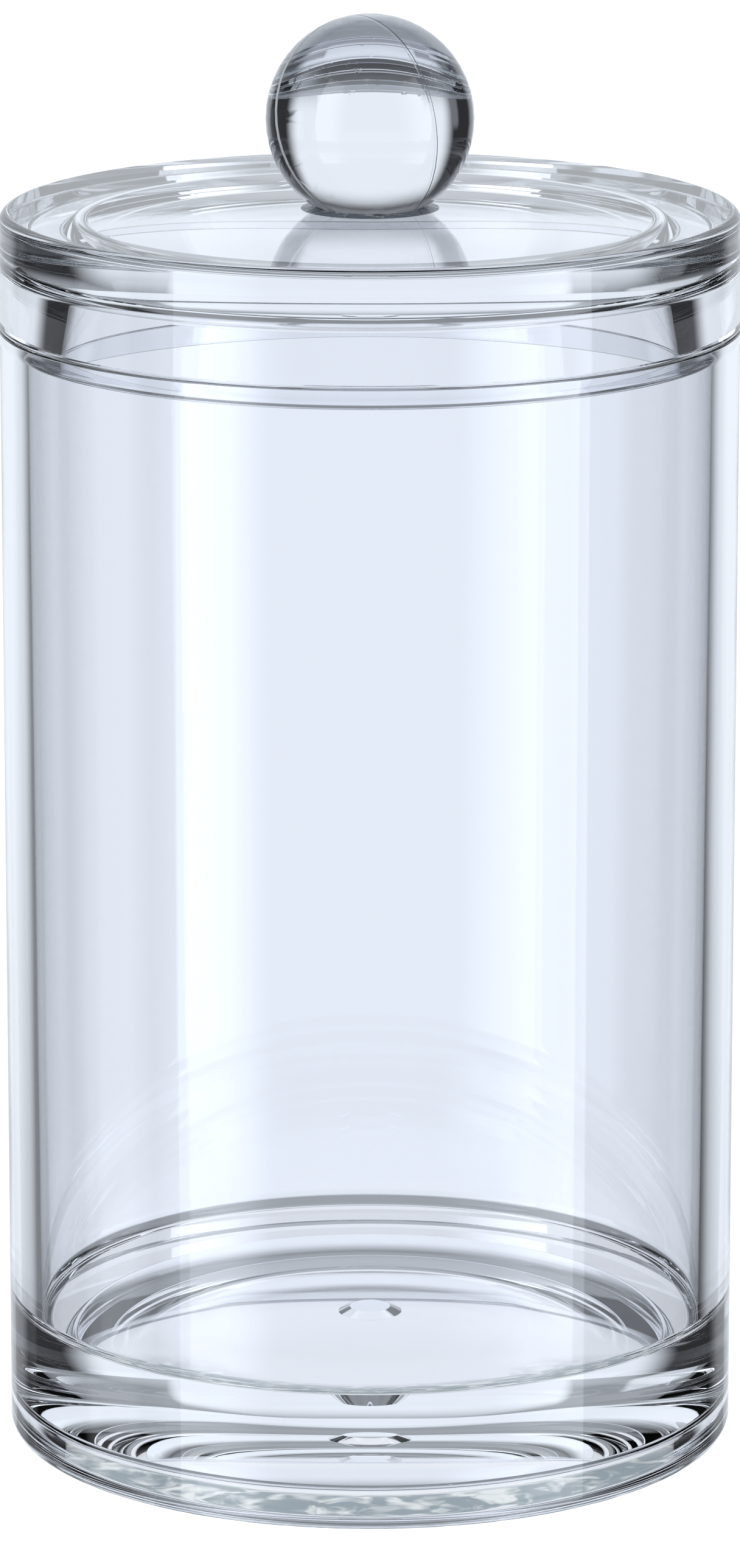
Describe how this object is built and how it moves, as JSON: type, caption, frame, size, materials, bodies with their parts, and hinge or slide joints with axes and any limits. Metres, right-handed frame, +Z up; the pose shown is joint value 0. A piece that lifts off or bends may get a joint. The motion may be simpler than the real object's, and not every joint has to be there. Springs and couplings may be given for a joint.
{
  "type": "storage jar",
  "caption": "Round clear acrylic storage jar with a thick base, a lift-off lid that plugs its mouth, and a solid clear ball as the lid's knob.",
  "frame": {"origin": "centre of the foot ring, on the surface that the jar stands on", "axes": "+Z up along the jar's axis, towards the knob"},
  "size_m": [0.0754, 0.0754, 0.1477],
  "materials": {
    "clear_acrylic": "clear, polished"
  },
  "bodies": {
    "jar_body": {"jar": "clear_acrylic"},
    "lid_body": {"lid": "clear_acrylic", "knob": "clear_acrylic"}
  },
  "joints": [
    {"name": "lid_lift", "type": "slide", "parent": "jar_body", "child": "lid_body", "axis": [0, 0, 1], "range_m": [0, 0.06]}
  ]
}
